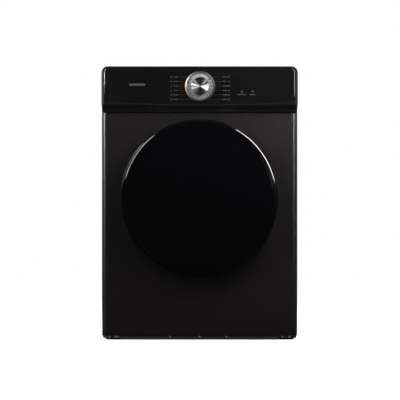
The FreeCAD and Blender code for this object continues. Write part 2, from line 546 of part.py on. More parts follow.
duct = union(box(-98, 98, -238, -181.5, 50, 300), box(-245, -90, -238, -181.5, 50, 150))
duct = duct.cut(union(box(-96, 96, -236, -183.5, 52, 301), box(-243, -90, -236, -183.5, 52, 148)))
duct = union(duct, tube_y(44, 46, -182, -171, MOTOR_X, MOTOR_Z)).cut(cyl_y(44, -190, -170, MOTOR_X, MOTOR_Z))
duct = duct.cut(cyl_y(MOUTH_R + 2.3, -250, -170, 0, DOOR_Z))
save("lint_duct", duct)

vol_o = union(cyl_y(76, -170.5, -105, MOTOR_X, MOTOR_Z), box(MOTOR_X, -75.5, -170.5, -105, 24.5, 84))
vol_i = union(cyl_y(74, -168.5, -107, MOTOR_X, MOTOR_Z), box(MOTOR_X, -70, -168.5, -107, 26.5, 82))
vol = vol_o.cut(vol_i).cut(cyl_y(46.3, -172, -168, MOTOR_X, MOTOR_Z)).cut(cyl_y(8, -110, -100, MOTOR_X, MOTOR_Z))
save("blower_housing", vol)
ex_o = union(box(-75.2, 42, -170.5, -100, 24, 128), cyl_y(DUCT_R, -101, 261.8, DUCT_X, DUCT_Z))
ex_i = union(box(-73.2, 40, -168.5, -102, 26, 126), cyl_y(DUCT_R - 2, -103, 263, DUCT_X, DUCT_Z), box(-80, -70, -168, -107.5, 27, 81.5))
save("exhaust_duct", ex_o.cut(ex_i))
sp = union(prism_y(rect(DUCT_X - 62, DUCT_X + 62, DUCT_Z - 60, DUCT_Z + 60), 10, 262.05, 265), cyl_y(50.5, 262.05, Y_SPIGOT, DUCT_X, DUCT_Z))
sp = sp.cut(cyl_y(47.5, 261, Y_SPIGOT + 1, DUCT_X, DUCT_Z))
save("vent_spigot", sp)

gl = union(prism_y([(235 + 12 * math.cos(math.radians(60 * k)), 765 + 12 * math.sin(math.radians(60 * k))) for k in range(6)], 0, 262.05, 268),
           cyl_y(10, 250, 263, 235, 765), spin_y([(0, 267), (10.5, 267), (10.5, 277), (7, 281), (0, 281)], [0, 0, 2, 1, 0], 235, 765))
gl = gl.cut(cyl_y(4.5, 249, 285, 235, 765))
save("cable_gland", gl)

# ----------------------------------------------------------------- motor, blower wheel and belt drive
mb = spin_y([(6.0, -92), (20, -95), (48, -95), (58, -88), (58, 48), (48, 55), (20, 55), (6.0, 52)], [0, 0, 3, 3, 3, 3, 0, 0], MOTOR_X, MOTOR_Z)
vents = []
for k in range(12):
    for y0 in (-84, 32):
        v = box(50, 62, y0, y0 + 12, -4, 4)
        v.rotate(V(0, 0, 0), V(0, 1, 0), -30 * k)
        v.translate(V(MOTOR_X, 0, MOTOR_Z))
        vents.append(v)
save("motor_body", mb.cut(Part.makeCompound(vents)))
shaft = union(cyl_y(5.5, -166, 78, MOTOR_X, MOTOR_Z), cyl_y(PULLEY_R, 77.9, 95, MOTOR_X, MOTOR_Z))
grooves = [tube_y(PULLEY_R - 0.7, PULLEY_R + 2, y, y + 1.0, MOTOR_X, MOTOR_Z) for y in (79.5, 82, 84.5, 87, 89.5)]
save("motor_shaft", shaft.cut(Part.makeCompound(grooves)))
fan = union(cyl_y(62, -116, -114, MOTOR_X, MOTOR_Z), cyl_y(12, -160, -114, MOTOR_X, MOTOR_Z), tube_y(56, 62, -160, -157, MOTOR_X, MOTOR_Z))
blades = []
for k in range(24):
    b = box(48, 61.5, -159, -115, -0.9, 0.9)
    b.rotate(V(52, 0, 0), V(0, 1, 0), 24)
    b.rotate(V(0, 0, 0), V(0, 1, 0), 15 * k)
    b.translate(V(MOTOR_X, 0, MOTOR_Z))
    blades.append(b)
fan = union(fan, blades).common(cyl_y(62, -161, -113, MOTOR_X, MOTOR_Z)).cut(cyl_y(5.52, -170, -110, MOTOR_X, MOTOR_Z))
save("fan_wheel", fan)

IDL = (-112.0, 101.5)
IDL_R = 18.0
PIV = (-150.0, 48.0)
plate0 = box(-252, -118, -98.5, -96.5, 9.05, MOTOR_Z)
plate1 = union(box(-252, -118, 57, 59, 9.05, MOTOR_Z), box(-160, -118, 57, 59, 9.05, 60))
cradle = union(plate0, plate1, box(-252, -118, -98.5, 59, 9.05, 11.5), box(-252, -249, -98.5, 59, 9.05, 50), box(-121, -118, -98.5, 59, 9.05, 40))
cradle = cradle.cut(cyl_y(30, -100, 60, MOTOR_X, MOTOR_Z))
straps = [tube_y(58.3, 60.3, y, y + 12, MOTOR_X, MOTOR_Z) for y in (-70, 22)]
legs = [box(MOTOR_X - 62, MOTOR_X - 57, y, y + 12, 11, MOTOR_Z) for y in (-70, 22)] + [box(MOTOR_X + 57, MOTOR_X + 62, y, y + 12, 11, MOTOR_Z) for y in (-70, 22)]
legs = [l.cut(cyl_y(58.3, -100, 60, MOTOR_X, MOTOR_Z)) for l in legs]
cradle = union(cradle, straps, legs, cyl_y(4, 58, 80, *PIV))
save("motor_bracket", cradle)

ia = union(prism_y([(PIV[0] - 9, PIV[1] - 9), (IDL[0] + 8, IDL[1] - 7), (IDL[0] + 6, IDL[1] + 8), (IDL[0] - 8, IDL[1] + 8), (PIV[0] - 9, PIV[1] + 8)], 6, 64, 67),
           cyl_y(8, 62, 69, *PIV), cyl_y(4, 67, 93, *IDL))
ia = ia.cut(cyl_y(4.06, 60, 72, *PIV))
save("idler_arm", ia)
save("idler_pulley", spin_y([(4.06, 74), (IDL_R + 2, 74), (IDL_R + 2, 76.5), (IDL_R, 77.3), (IDL_R, 92.0), (IDL_R + 2, 92.6), (IDL_R + 2, 94.5), (4.06, 94.5)], 0, *IDL))
coil = [Part.makeTorus(6.6, 0.9, V(PIV[0], 70.4 + 2.0 * k, PIV[1]), V(0, 1, 0)) for k in range(5)]
spring = union(coil, box(PIV[0] - 7.4, PIV[0] - 5.8, 70.0, 79.0, PIV[1] - 0.8, PIV[1] + 0.8), cyl_x(0.9, PIV[0] - 30, PIV[0] - 6, 78.4, PIV[1]))
save("idler_spring", spring)


def belt_wire(circles, place):
    """Closed belt line round circles (x, z, r, side); side +1 is inside the loop, -1 outside."""
    n = len(circles)
    tang = []
    for i in range(n):
        ax, az, ra, sa = circles[i]
        bx, bz, rb_, sb = circles[(i + 1) % n]
        dx, dz = bx - ax, bz - az
        D = math.hypot(dx, dz)
        phi = math.atan2(dz, dx)
        dl = math.asin((sa * ra - sb * rb_) / D)
        na = phi + dl - math.pi / 2
        p = (ax + sa * ra * math.cos(na), az + sa * ra * math.sin(na))
        q = (bx + sb * rb_ * math.cos(na), bz + sb * rb_ * math.sin(na))
        tang.append((p, q))
    edges = []
    for i in range(n):
        p, q = tang[i]
        edges.append(Part.LineSegment(place(*p), place(*q)).toShape())
        cx, cz, r, s = circles[(i + 1) % n]
        a0 = math.atan2(q[1] - cz, q[0] - cx)
        nx = tang[(i + 1) % n][0]
        a1 = math.atan2(nx[1] - cz, nx[0] - cx)
        if s > 0:
            while a1 <= a0:
                a1 += 2 * math.pi
        else:
            while a1 >= a0:
                a1 -= 2 * math.pi
        am = (a0 + a1) / 2
        m = (cx + r * math.cos(am), cz + r * math.sin(am))
        edges.append(Part.Arc(place(*q), place(*m), place(*nx)).toShape())
    return Part.Wire(edges)


BELT_T = 2.0
G = 0.3
loop_in = [(0, DOOR_Z, DRUM_R + G, 1), (MOTOR_X, MOTOR_Z, PULLEY_R + G, 1), (IDL[0], IDL[1], IDL_R + G + BELT_T, -1)]
loop_out = [(0, DOOR_Z, DRUM_R + G + BELT_T, 1), (MOTOR_X, MOTOR_Z, PULLEY_R + G + BELT_T, 1), (IDL[0], IDL[1], IDL_R + G, -1)]
wo = belt_wire(loop_out, lambda x, z: V(x, BELT_Y0, z))
wi = belt_wire(loop_in, lambda x, z: V(x, BELT_Y0, z))
belt = Part.Face(wo).extrude(V(0, BELT_Y1 - BELT_Y0 - 0.5, 0)).cut(Part.Face(wi).extrude(V(0, BELT_Y1 - BELT_Y0 - 0.5, 0)))
save("drive_belt", belt)

# ----------------------------------------------------------------- fasteners
sc = []
for x, z in ((-285, 30), (285, 30), (-285, 200), (285, 200), (-285, 400), (285, 400), (-285, 600), (285, 600), (-285, 790), (285, 790), (-120, 790), (120, 790),
             (-90, 30), (70, 150)):
    hd = cyl_y(4.5, 262.05, 264.3, x, z)
    sc.append(hd.cut(box(x - 3, x + 3, 263.3, 266, z - 0.6, z + 0.6)).cut(box(x - 0.6, x + 0.6, 263.3, 266, z - 3, z + 3)))
for x in (-276, -257.5, -251.0, -91, 0, 82, 253, 275):
    hd = cyl_y(2.8, -261.4, -259.05, x, 8.6)
    sc.append(hd.cut(box(x - 2, x + 2, -262, -260.6, 8.2, 9.0)))
save("cabinet_screws", sc)

# ----------------------------------------------------------------- write every piece
os.makedirs("parts", exist_ok=True)
for name, shape in parts.items():
    if not shape.isValid():
        print("INVALID", name)
    print("%-24s solids %d  volume %.1f cm3" % (name, len(shape.Solids), shape.Volume / 1000.0))
    if shape.ShapeType == "Compound" and len(shape.Solids) == 1:
        shape = shape.Solids[0]
    shape.exportStep(os.path.join("parts", name + ".step"))
print(len(parts), "pieces")
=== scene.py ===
import json
import math

import bmesh
import bpy
from mathutils import Matrix, Vector

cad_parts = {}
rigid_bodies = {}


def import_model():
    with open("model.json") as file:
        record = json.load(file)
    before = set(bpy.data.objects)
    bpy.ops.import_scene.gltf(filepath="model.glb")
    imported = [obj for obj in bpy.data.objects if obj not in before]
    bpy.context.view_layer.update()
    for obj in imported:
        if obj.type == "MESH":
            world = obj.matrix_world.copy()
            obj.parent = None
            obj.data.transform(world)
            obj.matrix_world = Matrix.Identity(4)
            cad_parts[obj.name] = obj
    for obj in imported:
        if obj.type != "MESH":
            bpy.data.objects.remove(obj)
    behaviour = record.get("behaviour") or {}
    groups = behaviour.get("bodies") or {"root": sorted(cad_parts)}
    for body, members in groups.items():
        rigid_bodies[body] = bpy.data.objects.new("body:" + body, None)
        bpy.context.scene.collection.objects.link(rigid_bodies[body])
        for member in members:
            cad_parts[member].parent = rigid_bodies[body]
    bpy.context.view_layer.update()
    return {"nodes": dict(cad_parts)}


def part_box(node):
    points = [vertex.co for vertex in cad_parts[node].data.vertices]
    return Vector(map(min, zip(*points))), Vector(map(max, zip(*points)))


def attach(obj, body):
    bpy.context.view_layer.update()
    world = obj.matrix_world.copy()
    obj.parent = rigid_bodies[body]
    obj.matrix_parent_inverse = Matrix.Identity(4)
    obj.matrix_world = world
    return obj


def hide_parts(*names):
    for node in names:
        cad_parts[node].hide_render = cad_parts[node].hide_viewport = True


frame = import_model()
nodes = frame["nodes"]


# ------------------------------------------------------------------ camera first
def centre(node):
    lo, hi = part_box(node)
    return [(a + b) / 2 for a, b in zip(lo, hi)]


LENS = 400.0
FRAME_W = 1.2212                       # metres across the picture at the console's front plane
con_lo, con_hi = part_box("console_housing")
cam_data = bpy.data.cameras.new("camera")
cam_data.lens = LENS
cam_data.sensor_width = 36.0
cam_data.clip_end = 120.0
cam = bpy.data.objects.new("camera", cam_data)
bpy.context.scene.collection.objects.link(cam)
cam.location = (0.0012, con_lo[1] - FRAME_W * LENS / 36.0, 0.4267)
cam.rotation_euler = (math.radians(90), 0, 0)
bpy.context.scene.camera = cam


# ------------------------------------------------------------------ material helpers
class Mat:
    """Small wrapper round one node tree with a Principled shader."""

    def __init__(self, name, color, rough, metal=0.0, **kw):
        m = bpy.data.materials.new(name)
        m.use_nodes = True
        self.m = m
        self.t = m.node_tree
        self.n = self.t.nodes
        self.l = self.t.links
        self.p = self.n["Principled BSDF"]
        self.p.inputs["Base Color"].default_value = (*color, 1)
        self.p.inputs["Roughness"].default_value = rough
        self.p.inputs["Metallic"].default_value = metal
        for k, v in kw.items():
            self.p.inputs[k.replace("_", " ")].default_value = v
        self.color = color
        self.rough = rough
        self.co = self.n.new("ShaderNodeTexCoord").outputs["Object"]
        m.diffuse_color = (*color, 1)

    def mapped(self, scale=(1, 1, 1), rot=(0, 0, 0), loc=(0, 0, 0), kind="POINT"):
        mp = self.n.new("ShaderNodeMapping")
        mp.vector_type = kind
        mp.inputs["Scale"].default_value = scale
        mp.inputs["Rotation"].default_value = rot
        mp.inputs["Location"].default_value = loc
        self.l.new(self.co, mp.inputs["Vector"])
        return mp.outputs["Vector"]

    def noise(self, scale, detail=4.0, rough=0.5, vec=None, dist=0.0):
        t = self.n.new("ShaderNodeTexNoise")
        t.inputs["Scale"].default_value = scale
        t.inputs["Detail"].default_value = detail
        t.inputs["Roughness"].default_value = rough
        t.inputs["Distortion"].default_value = dist
        self.l.new(vec if vec is not None else self.co, t.inputs["Vector"])
        return t.outputs["Fac"]

    def voronoi(self, scale, feature="F1", vec=None, rand=1.0):
        t = self.n.new("ShaderNodeTexVoronoi")
        t.feature = feature
        t.inputs["Scale"].default_value = scale
        t.inputs["Randomness"].default_value = rand
        self.l.new(vec if vec is not None else self.co, t.inputs["Vector"])
        return t.outputs["Distance"]

    def ramp(self, fac, stops):
        r = self.n.new("ShaderNodeValToRGB")
        el = r.color_ramp.elements
        while len(el) > 1:
            el.remove(el[-1])
        first = True
        for pos, col in stops:
            if first:
                e = el[0]
                e.position = pos
                first = False
            else:
                e = el.new(pos)
            e.color = (*col, 1) if len(col) == 3 else col
        self.l.new(fac, r.inputs["Fac"])
        return r.outputs["Color"]

    def maprange(self, fac, a, b, c, d):
        r = self.n.new("ShaderNodeMapRange")
        for k, v in zip(("From Min", "From Max", "To Min", "To Max"), (a, b, c, d)):
            r.inputs[k].default_value = v
        self.l.new(fac, r.inputs["Value"])
        return r.outputs["Result"]

    def math(self, op, a, b=None, c=None, clamp=False):
        r = self.n.new("ShaderNodeMath")
        r.operation = op
        r.use_clamp = clamp
        for i, v in enumerate((a, b, c)):
            if v is None:
                continue
            if isinstance(v, (int, float)):
                r.inputs[i].default_value = v
            else:
                self.l.new(v, r.inputs[i])
        return r.outputs["Value"]

    def mix(self, fac, a, b, mode="MIX"):
        r = self.n.new("ShaderNodeMix")
        r.data_type = "RGBA"
        r.blend_type = mode
        if isinstance(fac, (int, float)):
            r.inputs["Factor"].default_value = fac
        else:
            self.l.new(fac, r.inputs["Factor"])
        for key, v in ((6, a), (7, b)):
            if isinstance(v, tuple):
                r.inputs[key].default_value = (*v, 1)
            else:
                self.l.new(v, r.inputs[key])
        return r.outputs[2]

    def base(self, sock):
        self.l.new(sock, self.p.inputs["Base Color"])

    def roughness(self, fac, lo, hi, a=0.3, b=0.7):
        self.l.new(self.maprange(fac, a, b, lo, hi), self.p.inputs["Roughness"])

    def bump(self, height, strength=0.3, distance=0.0005):
        b = self.n.new("ShaderNodeBump")
        b.inputs["Strength"].default_value = strength
        b.inputs["Distance"].default_value = distance
        self.l.new(height, b.inputs["Height"])
        prev = self.p.inputs["Normal"].links
        if prev:
            self.l.new(prev[0].from_socket, b.inputs["Normal"])
        self.l.new(b.outputs["Normal"], self.p.inputs["Normal"])

    def vary(self, amount, scale, detail=3.0):
        """Slow tone variation of the base colour."""
        f = self.noise(scale, detail)
        c = self.color
        lo = tuple(max(0.0, v * (1 - amount)) for v in c)
        hi = tuple(min(1.0, v * (1 + amount)) for v in c)
        s = self.ramp(f, [(0.3, lo), (0.7, hi)])
        self.base(s)
        return s

    def edge_wear(self, base_sock, color, amount=0.5, width=0.002):
        """Lightens convex edges, where handling polishes them."""
        bev = self.n.new("ShaderNodeBevel")
        bev.samples = 4
        bev.inputs["Radius"].default_value = width
        geo = self.n.new("ShaderNodeNewGeometry")
        dot = self.n.new("ShaderNodeVectorMath")
        dot.operation = "DOT_PRODUCT"
        self.l.new(bev.outputs["Normal"], dot.inputs[0])
        self.l.new(geo.outputs["Normal"], dot.inputs[1])
        f = self.maprange(dot.outputs["Value"], 0.98, 0.80, 0.0, amount)
        out = self.mix(f, base_sock, color)
        self.base(out)
        return out


def metallic_paint(name, color, rough, flake=0.35, coat=0.25, coat_rough=0.12):
    k = Mat(name, color, rough, 0.55, Coat_Weight=coat, Coat_Roughness=coat_rough, Coat_IOR=1.5)
    fl = k.voronoi(2600.0)
    slow = k.noise(3.5, 3.0)
    lo = tuple(v * (1 - flake) for v in color)
    hi = tuple(min(1, v * (1 + flake)) for v in color)
    s_lo = tuple(v * (1 - flake * 0.25) for v in color)
    s_hi = tuple(v * (1 + flake * 0.25) for v in color)
    base = k.mix(0.45, k.ramp(fl, [(0.0, hi), (0.6, lo)]), k.ramp(slow, [(0.3, s_lo), (0.7, s_hi)]))
    k.base(base)
    k.roughness(k.noise(9.0, 2.0), rough - 0.002, rough + 0.002)
    k.bump(k.noise(700.0, 1.0), 0.012, 0.0002)          # orange peel
    return k.m


def moulded(name, color, rough, grain=1400.0, strength=0.15, sheen=0.0, vary=0.12):
    k = Mat(name, color, rough)
    k.vary(vary, 9.0)
    k.roughness(k.noise(24.0, 6.0), rough - 0.05, rough + 0.06)
    k.bump(k.voronoi(grain), strength, 0.0003)
    k.bump(k.noise(60.0, 4.0), strength * 0.4, 0.0006)
    return k.m


def gloss_black(name, color=(0.006, 0.006, 0.007), rough=0.06):
    k = Mat(name, color, rough, Coat_Weight=0.6, Coat_Roughness=0.03)
    k.vary(0.25, 5.0)
    k.roughness(k.noise(9.0, 5.0), rough - 0.02, rough + 0.04)     # faint wipe marks
    k.bump(k.noise(6.0, 1.0), 0.02, 0.0006)
    return k.m


def brushed(name, color, rough=0.3, axis="X", scale=500.0, aniso=0.4):
    k = Mat(name, color, rough, 1.0, Anisotropic=aniso)
    sc = {"X": (0.02, 1, 1), "Y": (1, 0.02, 1), "Z": (1, 1, 0.02)}[axis]
    v = k.mapped(sc)
    g = k.noise(scale, 3.0, 0.6, v)
    c = color
    s = k.ramp(g, [(0.35, tuple(x * 0.85 for x in c)), (0.65, tuple(min(1, x * 1.08) for x in c))])
    k.base(s)
    k.roughness(g, rough - 0.06, rough + 0.1)
    k.bump(g, 0.08, 0.0002)
    return k.m


def galvanised(name="galvanised"):
    c = (0.50, 0.51, 0.52)
    k = Mat(name, c, 0.42, 0.45)
    sp = k.n.new("ShaderNodeTexVoronoi")
    sp.inputs["Scale"].default_value = 130.0
    k.l.new(k.co, sp.inputs["Vector"])
    s = k.ramp(sp.outputs["Distance"], [(0.0, (0.45, 0.46, 0.47)), (0.8, (0.56, 0.57, 0.58))])
    tone = k.ramp(k.noise(3.0, 3.0), [(0.3, (0.49, 0.50, 0.51)), (0.7, (0.54, 0.55, 0.56))])
    k.base(k.mix(0.5, s, tone))
    k.roughness(k.noise(90.0, 3.0), 0.42, 0.5)
    k.bump(k.noise(220.0, 3.0), 0.06, 0.0003)
    return k.m


def rubber(name, color=(0.018, 0.018, 0.018)):
    k = Mat(name, color, 0.72)
    k.vary(0.3, 30.0)
    k.roughness(k.noise(80.0, 4.0), 0.6, 0.85)
    k.bump(k.noise(900.0, 3.0), 0.25, 0.0003)
    return k.m


def felt(name, color=(0.40, 0.38, 0.34)):
    k = Mat(name, color, 0.95, Sheen_Weight=0.5, Sheen_Roughness=0.6)
    k.vary(0.25, 120.0, 6.0)
    k.bump(k.noise(1500.0, 6.0, 0.7, dist=2.0), 0.8, 0.0008)
    return k.m


M = {
    "paint": metallic_paint("graphite_paint", (0.0275, 0.0238, 0.0232), 0.27, coat=0.30, coat_rough=0.15),
    "console": metallic_paint("console_graphite", (0.020, 0.0188, 0.0188), 0.46, coat=0.25, coat_rough=0.22),
    "gloss": gloss_black("black_gloss", (0.0125, 0.0118, 0.0122), 0.07),
    "ring": gloss_black("door_ring_gloss", (0.006, 0.006, 0.0065), 0.06),
    "blackplastic": moulded("black_plastic", (0.015, 0.015, 0.016), 0.5),
    "grey": moulded("grey_plastic", (0.30, 0.31, 0.32), 0.45, vary=0.06),
    "duct": moulded("duct_plastic", (0.10, 0.10, 0.105), 0.5),
    "galv": galvanised(),
    "stainless": brushed("stainless", (0.62, 0.62, 0.61), 0.26, "Y", 420.0, 0.5),
    "steel": brushed("zinc_steel", (0.56, 0.56, 0.55), 0.32, "Z", 600.0, 0.3),
    "rubber": rubber("black_rubber"),
    "felt": felt("pressed_felt"),
    "alloy": moulded("motor_alloy", (0.45, 0.46, 0.47), 0.4),
    "nylon": moulded("natural_nylon", (0.72, 0.70, 0.64), 0.4, vary=0.05),
}

# Painted light: the console's base colour is scaled from 0.75x on upright faces up to 4.8x on faces that point downward
# (the neck under the fascia), standing in for light bounced up onto them.
_m = M["console"]
_t = _m.node_tree
_p = _t.nodes["Principled BSDF"]
_src = _p.inputs["Base Color"].links[0].from_socket
_g = _t.nodes.new("ShaderNodeNewGeometry")
_s = _t.nodes.new("ShaderNodeSeparateXYZ")
_t.links.new(_g.outputs["Normal"], _s.inputs[0])
_painted_underlight_gain = _t.nodes.new("ShaderNodeMapRange")
for _k, _v in zip(("From Min", "From Max", "To Min", "To Max"), (-0.25, -0.6, 0.75, 4.8)):
    _painted_underlight_gain.inputs[_k].default_value = _v
_t.links.new(_s.outputs[2], _painted_underlight_gain.inputs["Value"])
_x = _t.nodes.new("ShaderNodeVectorMath")
_x.operation = "SCALE"
_t.links.new(_src, _x.inputs[0])
_t.links.new(_painted_underlight_gain.outputs["Result"], _x.inputs["Scale"])
_t.links.new(_x.outputs["Vector"], _p.inputs["Base Color"])

# dark tinted door glass
k = Mat("dark_glass", (0.0042, 0.0042, 0.0056), 0.035, Coat_Weight=0.4, Coat_Roughness=0.02, IOR=1.52)
k.vary(0.2, 3.0)
k.roughness(k.noise(7.0, 6.0), 0.02, 0.07)
k.bump(k.noise(2.2, 1.0), 0.015, 0.002)
M["glass"] = k.m
# clear pressed bowl
k = Mat("clear_bowl_glass", (0.80, 0.86, 0.85), 0.04, Transmission_Weight=0.9, IOR=1.5)
k.roughness(k.noise(16.0, 3.0), 0.02, 0.05)
k.bump(k.noise(5.0, 1.0), 0.02, 0.001)
k.base(k.ramp(k.noise(4.0), [(0.3, (0.74, 0.82, 0.81)), (0.7, (0.86, 0.90, 0.89))]))
M["bowl"] = k.m
# circuit board
k = Mat("circuit_board", (0.03, 0.13, 0.05), 0.35)
tr = k.n.new("ShaderNodeTexBrick")
tr.inputs["Scale"].default_value = 60.0
tr.inputs["Mortar Size"].default_value = 0.05
tr.inputs["Color1"].default_value = (0.02, 0.12, 0.045, 1)
tr.inputs["Color2"].default_value = (0.025, 0.15, 0.06, 1)
tr.inputs["Mortar"].default_value = (0.05, 0.22, 0.09, 1)
k.l.new(k.mapped(rot=(math.radians(90), 0, 0)), tr.inputs["Vector"])
k.base(tr.outputs["Color"])
k.bump(tr.outputs["Fac"], 0.2, 0.0003)
M["pcb"] = k.m
# heater element sheath, heat tinted
k = Mat("heater_sheath", (0.22, 0.18, 0.16), 0.45, 0.9)
k.base(k.ramp(k.noise(26.0, 3.0), [(0.25, (0.16, 0.12, 0.15)), (0.5, (0.26, 0.20, 0.14)), (0.75, (0.30, 0.28, 0.28))]))
k.roughness(k.noise(70.0), 0.35, 0.6)
M["heater"] = k.m
# filter gauze
k = Mat("filter_gauze", (0.58, 0.60, 0.62), 0.8)
wv = k.n.new("ShaderNodeTexBrick")
wv.offset = 0.0
wv.inputs["Scale"].default_value = 700.0
wv.inputs["Mortar Size"].default_value = 0.22
wv.inputs["Color1"].default_value = (0.12, 0.12, 0.13, 1)
wv.inputs["Color2"].default_value = (0.14, 0.14, 0.15, 1)
wv.inputs["Mortar"].default_value = (0.62, 0.64, 0.66, 1)
k.l.new(k.mapped(rot=(math.radians(90), 0, 0)), wv.inputs["Vector"])
k.base(wv.outputs["Color"])
k.bump(wv.outputs["Fac"], 0.5, 0.0003)
M["gauze"] = k.m
# programme ring
k = Mat("ring_grey", (0.60, 0.60, 0.59), 0.36, 0.15)
k.vary(0.08, 60.0)
k.roughness(k.noise(200.0), 0.28, 0.42)
k.bump(k.noise(1500.0), 0.05, 0.0002)
M["ringgrey"] = k.m


def spun(name, color, rough, node, rings=900.0, aniso=0.75, metal=1.0, painted_reflection_bands=None, spread=False):
    """Lathe-turned metal: circular grooves about the node's own axis along Y; the optional angle ramp multiplies the
    colour round the axis, painting in the bright and dark wedges and spokes of reflected lamps.
    """
    cx, _, cz = centre(node)
    k = Mat(name, color, rough, metal, Anisotropic=aniso)
    tan = k.n.new("ShaderNodeTangent")
    tan.direction_type = "RADIAL"
    tan.axis = "Y"
    v = k.mapped(loc=(-cx, 0, -cz))
    sep = k.n.new("ShaderNodeSeparateXYZ")
    k.l.new(v, sep.inputs[0])
    r2 = k.math("ADD", k.math("MULTIPLY", sep.outputs[0], sep.outputs[0]), k.math("MULTIPLY", sep.outputs[2], sep.outputs[2]))
    r = k.math("SQRT", r2)
    comb = k.n.new("ShaderNodeCombineXYZ")
    k.l.new(k.math("MULTIPLY", r, 6.0), comb.inputs[0])
    g = k.noise(rings, 2.0, 0.6, comb.outputs[0])
    turned = k.ramp(g, [(0.3, tuple(x * 0.82 for x in color)), (0.7, tuple(min(1, x * 1.12) for x in color))])
    # painted reflection: darkens fixed angular wedges and spokes of the colour, standing in for the dark fans between
    # reflected lamps
    if painted_reflection_bands:
        ang = k.math("ARCTAN2", sep.outputs[2], sep.outputs[0])
        turn = k.maprange(ang, -math.pi, math.pi, 0.0, 1.0)
        painted_bands = k.ramp(turn, [(a / 360.0 + 0.5, (v_, v_, v_)) for a, v_ in painted_reflection_bands])
        turned = k.mix(1.0, turned, painted_bands, "MULTIPLY")
    k.base(turned)
    if spread:
        k.p.inputs["Roughness"].default_value = rough
    else:
        k.roughness(g, rough - 0.06, rough + 0.1)
    k.l.new(tan.outputs["Tangent"], k.p.inputs["Tangent"])
    k.bump(g, 0.15 if not spread else 0.06, 0.0001)
    return k.m


# Painted reflection on the knob face: colour factors by angle in degrees, dark fans at top and bottom and narrow dark
# spokes between the bright wedges.
PAINTED_REFLECTION_SECTORS = [(-179.9, 0.12), (-176, 0.12), (-172, 1.0), (-158, 1.0), (-152, 0.40), (-36, 0.36), (-32, 1.0), (17, 1.0), (22, 0.10), (34, 0.10), (38, 1.0), (48, 1.0),
           (53, 0.46), (126, 0.46), (130, 1.0), (142, 1.0), (146, 0.09), (156, 0.09), (160, 1.0), (172, 1.0), (175, 0.12), (179.9, 0.12)]
M["knob"] = spun("spun_knob", (0.42, 0.42, 0.415), 0.50, "dial_knob", aniso=0.9, painted_reflection_bands=PAINTED_REFLECTION_SECTORS, spread=True)
M["knob"].node_tree.nodes["Principled BSDF"].inputs["Anisotropic Rotation"].default_value = 0.25
M["bezel"] = spun("spun_bezel", (0.155, 0.150, 0.145), 0.40, "dial_bezel", aniso=0.3)
# amber light guide, brighter on its left half
cx, _, cz = centre("dial_light_ring")
k = Mat("amber_light", (0.55, 0.28, 0.08), 0.35)
sep = k.n.new("ShaderNodeSeparateXYZ")
k.l.new(k.co, sep.inputs[0])
side = k.maprange(sep.outputs[0], cx - 0.045, cx - 0.008, 1.0, 0.0)
glow = k.math("MULTIPLY", side, k.maprange(k.noise(40.0), 0.3, 0.7, 0.85, 1.1))
k.base(k.ramp(side, [(0.0, (0.035, 0.034, 0.033)), (0.6, (0.20, 0.13, 0.07)), (1.0, (0.42, 0.24, 0.09))]))
k.l.new(k.ramp(side, [(0.0, (0.25, 0.22, 0.18)), (1.0, (1.0, 0.42, 0.10))]), k.p.inputs["Emission Color"])
k.l.new(k.maprange(glow, 0.0, 1.0, 0.0, 0.30), k.p.inputs["Emission Strength"])
M["amber"] = k.m

ASSIGN = {
    "paint": ("front_panel", "side_panel_left", "side_panel_right", "top_panel"),
    "console": ("console_housing",),
    "gloss": ("console_fascia",),
    "ring": ("door_outer_ring",),
    "glass": ("door_outer_glass",),
    "bowl": ("door_glass_bowl",),
    "blackplastic": ("base_pan", "door_catch", "selector_encoder", "vent_spigot", "cable_gland"),
    "grey": ("door_inner_frame", "lint_filter_frame", "drum_lifters"),
    "duct": ("lint_duct", "blower_housing", "exhaust_duct", "fan_wheel"),
    "galv": ("back_panel", "front_bulkhead", "rear_bulkhead", "heater_housing", "motor_bracket", "idler_arm"),
    "stainless": ("drum_shell", "air_inlet_grille", "moisture_sensor_strips"),
    "steel": ("door_strike", "door_hinge_arm", "hinge_bracket", "door_screws", "cabinet_screws", "roller_axles", "motor_shaft", "idler_spring", "thermostats"),
    "rubber": ("door_seal", "drive_belt", "roller_front_left", "roller_front_right", "roller_rear_left", "roller_rear_right",
               "foot_front_left", "foot_front_right", "foot_rear_left", "foot_rear_right"),
    "felt": ("drum_felt_seals",),
    "gauze": ("lint_filter_mesh",),
    "pcb": ("control_board", "touch_sensor_board"),
    "alloy": ("motor_body",),
    "heater": ("heater_element",),
    "nylon": ("idler_pulley",),
    "knob": ("dial_knob",),
    "bezel": ("dial_bezel",),
    "ringgrey": ("programme_ring",),
    "amber": ("dial_light_ring",),
}
done = set()
for key, names in ASSIGN.items():
    for nm in names:
        o = nodes[nm]
        if not o.material_slots:
            o.data.materials.append(M[key])
        for s in o.material_slots:
            s.material = M[key]
        done.add(nm)
missing = sorted(set(nodes) - done)
if missing:
    raise SystemExit("nodes without a material: %s" % missing)


# ------------------------------------------------------------------ mesh helpers
def mesh_object(name, verts, faces, mat, smooth=True, body="cabinet", sharp=None):
    me = bpy.data.meshes.new(name)
    me.from_pydata([tuple(v) for v in verts], [], faces)
    me.validate()
    bm_ = bmesh.new()
    bm_.from_mesh(me)
    bmesh.ops.remove_doubles(bm_, verts=bm_.verts, dist=1e-7)
    bmesh.ops.recalc_face_normals(bm_, faces=bm_.faces)
    bm_.to_mesh(me)
    bm_.free()
    for p in me.polygons:
        p.use_smooth = smooth
    if smooth:
        me.set_sharp_from_angle(angle=math.radians(sharp if sharp else 38))
    me.materials.append(mat)
    ob = bpy.data.objects.new(name, me)
    bpy.context.scene.collection.objects.link(ob)
    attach(ob, body)
    return ob


